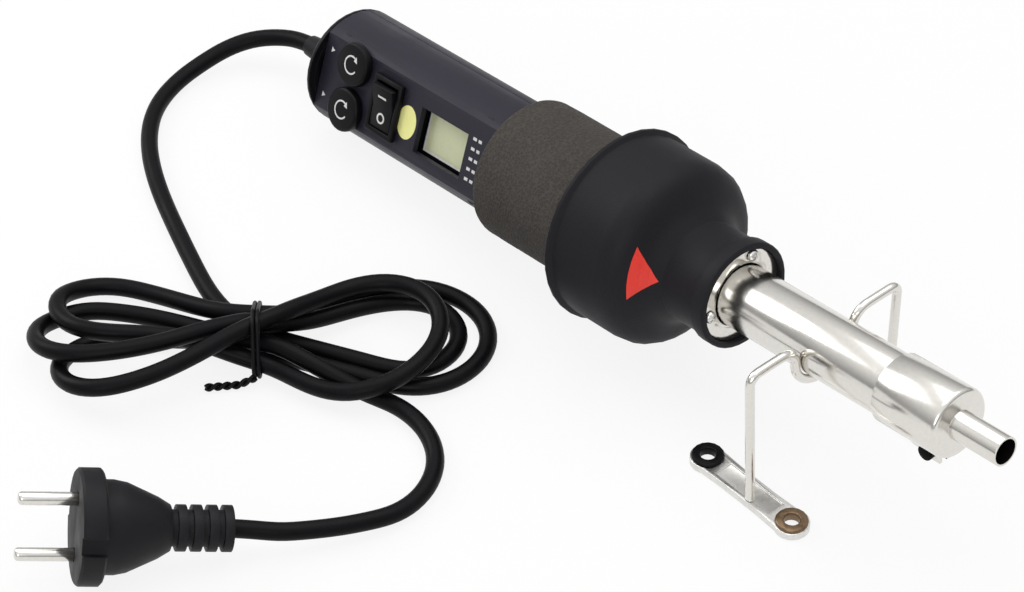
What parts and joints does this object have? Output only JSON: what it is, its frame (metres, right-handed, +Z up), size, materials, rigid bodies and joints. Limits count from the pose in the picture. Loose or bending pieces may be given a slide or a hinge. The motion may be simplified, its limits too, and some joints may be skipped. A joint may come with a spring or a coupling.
{
  "type": "hot air soldering tool",
  "caption": "Hot air soldering tool with a tubular handle, control panel, foam grip, blower housing and heater barrel with a clamp-on nozzle, on a wire stand, with a tied mains lead and plug.",
  "frame": {"origin": "on the floor under the middle of the tool and its stand, without the lead and plug", "axes": "+X along the floor towards the nozzle, -Y towards the side the control panel faces, +Z up"},
  "size_m": [0.3722, 0.2732, 0.0765],
  "materials": {
    "charcoal_plastic": "satin moulded plastic",
    "black_plastic": "satin moulded plastic",
    "housing_plastic": "fine-grained heat-proof plastic",
    "grey_foam": "open-cell foam",
    "nickel_steel": "bright nickel plate",
    "brown_steel": "browned steel",
    "green_board": "solder mask",
    "display_glass": "unlit liquid crystal panel",
    "white_ceramic": "unglazed",
    "pale_mica": "rolled mica sheet",
    "cord_rubber": "semi-gloss sheath",
    "plug_rubber": "matt moulded rubber",
    "tie_plastic": "coated wire"
  },
  "bodies": {
    "handle": {"handle_panel_shell": "charcoal_plastic", "handle_back_shell": "charcoal_plastic", "shell_screw_1": "nickel_steel", "shell_screw_2": "nickel_steel", "shell_screw_3": "nickel_steel", "shell_screw_4": "nickel_steel", "temperature_potentiometer": "nickel_steel", "airflow_potentiometer": "nickel_steel", "rocker_frame": "black_plastic", "control_board": "green_board", "display_module": "display_glass", "tail_cap": "black_plastic", "foam_grip": "grey_foam", "blower_housing": "housing_plastic", "intake_grille": "black_plastic", "blower_motor": "nickel_steel", "motor_mount": "black_plastic", "barrel_tube": "nickel_steel", "barrel_flange": "nickel_steel", "flange_screw_1": "nickel_steel", "flange_screw_2": "nickel_steel", "flange_screw_3": "nickel_steel", "insulating_sleeve": "pale_mica", "heater_core": "white_ceramic", "heater_coil": "nickel_steel", "temperature_sensor": "nickel_steel", "cord_strain_relief": "cord_rubber", "cord_lead": "cord_rubber", "cord_tail": "cord_rubber", "cord_hank": "cord_rubber", "cord_tie": "tie_plastic", "plug_body": "plug_rubber", "plug_pin_1": "nickel_steel", "plug_pin_2": "nickel_steel"},
    "temperature_knob": {"temperature_knob": "black_plastic"},
    "airflow_knob": {"airflow_knob": "black_plastic"},
    "rocker": {"rocker_button": "black_plastic"},
    "impeller": {"impeller": "black_plastic"},
    "nozzle": {"nozzle": "nickel_steel", "clamp_nut": "nickel_steel"},
    "clamp_screw": {"clamp_screw": "nickel_steel"},
    "stand": {"stand_wire": "nickel_steel", "near_foot_plate": "nickel_steel", "far_foot_plate": "nickel_steel", "near_rear_eyelet": "black_plastic", "near_front_eyelet": "brown_steel", "far_rear_eyelet": "black_plastic", "far_front_eyelet": "brown_steel"}
  },
  "joints": [
    {"name": "temperature_turn", "type": "hinge", "parent": "handle", "child": "temperature_knob", "pos_m": [-0.13917, -0.01541, 0.03813], "axis": [-0.0552, -0.9135, 0.403], "range_deg": [-300, 0]},
    {"name": "airflow_turn", "type": "hinge", "parent": "handle", "child": "airflow_knob", "pos_m": [-0.13706, -0.02232, 0.02274], "axis": [-0.0552, -0.9135, 0.403], "range_deg": [-300, 0]},
    {"name": "rocker_tilt", "type": "hinge", "parent": "handle", "child": "rocker", "pos_m": [-0.11935, -0.01978, 0.03342], "axis": [0.9907, 0, 0.1357], "range_deg": [-20, 0]},
    {"name": "impeller_spin", "type": "hinge", "parent": "handle", "child": "impeller", "pos_m": [-0.00424, -0.0037, 0.04196], "axis": [0.9907, 0, 0.1357], "continuous": true},
    {"name": "nozzle_pull", "type": "slide", "parent": "handle", "child": "nozzle", "axis": [0.9907, 0, 0.1357], "range_m": [0, 0.035]},
    {"name": "clamp_screw_turn", "type": "hinge", "parent": "nozzle", "child": "clamp_screw", "pos_m": [0.13131, -0.0037, 0.04493], "axis": [0, -1, 0], "range_deg": [0, 720]},
    {"name": "stand_swing", "type": "hinge", "parent": "handle", "child": "stand", "pos_m": [0.08145, -0.0037, 0.0537], "axis": [0.9907, 0, 0.1357], "range_deg": [-60, 60]}
  ]
}
